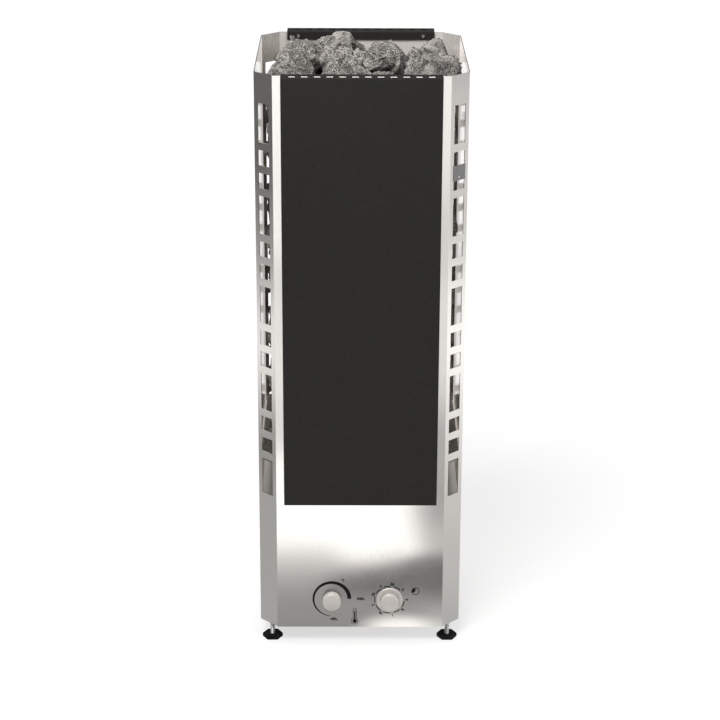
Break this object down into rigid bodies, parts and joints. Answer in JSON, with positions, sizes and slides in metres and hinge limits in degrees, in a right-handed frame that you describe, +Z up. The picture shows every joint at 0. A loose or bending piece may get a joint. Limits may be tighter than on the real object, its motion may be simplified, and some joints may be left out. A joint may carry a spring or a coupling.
{
  "type": "sauna heater stove",
  "caption": "Free-standing tower sauna heater: slotted steel casing full of stones, black front and rear covers, two knobs, levelling feet.",
  "frame": {"origin": "centre of the footprint, on the floor under the feet", "axes": "+Z up, the front with the controls faces -Y, +X is the right side seen from the front"},
  "size_m": [0.35, 0.422, 1.0387],
  "materials": {
    "brushed_steel": "brushed",
    "inner_steel": "satin",
    "black_coat": "textured powder coat",
    "grey_plate": "matt",
    "fasteners": "zinc plated",
    "studs": "zinc plated",
    "grate_steel": "heat stained",
    "element_steel": "oxidised",
    "brass": "machined",
    "copper": "satin",
    "steatite": "matt",
    "control_plastic": "moulded",
    "black_plastic": "moulded",
    "stone": "broken",
    "knob_satin": "satin",
    "red_plastic": "gloss",
    "foot_rubber": "matt"
  },
  "bodies": {
    "casing": {"left_shell": "brushed_steel", "right_shell": "brushed_steel", "front_panel": "brushed_steel", "rear_panel": "brushed_steel", "front_cover": "black_coat", "rear_cover": "black_coat", "cover_screws": "fasteners", "cover_nuts": "fasteners", "cover_brackets": "inner_steel", "corner_plate": "grey_plate", "base_plate": "inner_steel", "foot_bushes": "fasteners", "element_plate": "inner_steel", "heat_shield": "inner_steel", "shield_spacers": "inner_steel", "grate_ledges": "inner_steel", "stone_grate": "grate_steel", "element_left": "element_steel", "element_middle": "element_steel", "element_right": "element_steel", "element_fittings": "brass", "star_bar": "brass", "terminal_block": "steatite", "terminal_screws": "brass", "thermostat_body": "control_plastic", "thermostat_nut": "fasteners", "thermostat_sensor": "copper", "timer_body": "control_plastic", "timer_nut": "fasteners", "limiter_body": "black_plastic", "limiter_sensor": "copper", "gland_body": "black_plastic", "gland_cap": "black_plastic", "gland_nut": "black_plastic", "stones_low": "stone", "stones_middle": "stone", "stones_high": "stone", "stones_top": "stone"},
    "thermostat_knob": {"thermostat_knob": "knob_satin", "thermostat_shaft": "fasteners"},
    "timer_knob": {"timer_knob": "knob_satin", "timer_skirt": "knob_satin", "timer_shaft": "fasteners"},
    "reset_button": {"reset_button": "red_plastic"},
    "foot_pad_front_left": {"foot_pad_front_left": "foot_rubber"},
    "foot_stud_front_left": {"foot_stud_front_left": "studs"},
    "foot_pad_front_right": {"foot_pad_front_right": "foot_rubber"},
    "foot_stud_front_right": {"foot_stud_front_right": "studs"},
    "foot_pad_rear_left": {"foot_pad_rear_left": "foot_rubber"},
    "foot_stud_rear_left": {"foot_stud_rear_left": "studs"},
    "foot_pad_rear_right": {"foot_pad_rear_right": "foot_rubber"},
    "foot_stud_rear_right": {"foot_stud_rear_right": "studs"}
  },
  "joints": [
    {"name": "thermostat_turn", "type": "hinge", "parent": "casing", "child": "thermostat_knob", "pos_m": [-0.049, -0.185, 0.083], "axis": [0, 1, 0], "range_deg": [0, 270]},
    {"name": "timer_turn", "type": "hinge", "parent": "casing", "child": "timer_knob", "pos_m": [0.052, -0.185, 0.083], "axis": [0, 1, 0], "range_deg": [0, 320]},
    {"name": "reset_press", "type": "slide", "parent": "casing", "child": "reset_button", "axis": [0, 0, 1], "range_m": [0, 0.0025], "stiffness_N_per_m": 400, "springref_m": -0.003},
    {"name": "foot_level_front_left", "type": "slide", "parent": "casing", "child": "foot_pad_front_left", "axis": [0, 0, 1], "range_m": [-0.01, 0.01]},
    {"name": "foot_thread_front_left", "type": "hinge", "parent": "foot_pad_front_left", "child": "foot_stud_front_left", "pos_m": [-0.154, -0.161, 0.006], "axis": [0, 0, 1], "range_deg": [-2900, 2900]},
    {"name": "foot_level_front_right", "type": "slide", "parent": "casing", "child": "foot_pad_front_right", "axis": [0, 0, 1], "range_m": [-0.01, 0.01]},
    {"name": "foot_thread_front_right", "type": "hinge", "parent": "foot_pad_front_right", "child": "foot_stud_front_right", "pos_m": [0.154, -0.161, 0.006], "axis": [0, 0, 1], "range_deg": [-2900, 2900]},
    {"name": "foot_level_rear_left", "type": "slide", "parent": "casing", "child": "foot_pad_rear_left", "axis": [0, 0, 1], "range_m": [-0.01, 0.01]},
    {"name": "foot_thread_rear_left", "type": "hinge", "parent": "foot_pad_rear_left", "child": "foot_stud_rear_left", "pos_m": [-0.154, 0.161, 0.006], "axis": [0, 0, 1], "range_deg": [-2900, 2900]},
    {"name": "foot_level_rear_right", "type": "slide", "parent": "casing", "child": "foot_pad_rear_right", "axis": [0, 0, 1], "range_m": [-0.01, 0.01]},
    {"name": "foot_thread_rear_right", "type": "hinge", "parent": "foot_pad_rear_right", "child": "foot_stud_rear_right", "pos_m": [0.154, 0.161, 0.006], "axis": [0, 0, 1], "range_deg": [-2900, 2900]}
  ],
  "couplings": [
    {"joint": "foot_thread_front_left", "follows": "foot_level_front_left", "rad_per_m": 5026.5},
    {"joint": "foot_thread_front_right", "follows": "foot_level_front_right", "rad_per_m": 5026.5},
    {"joint": "foot_thread_rear_left", "follows": "foot_level_rear_left", "rad_per_m": 5026.5},
    {"joint": "foot_thread_rear_right", "follows": "foot_level_rear_right", "rad_per_m": 5026.5}
  ]
}
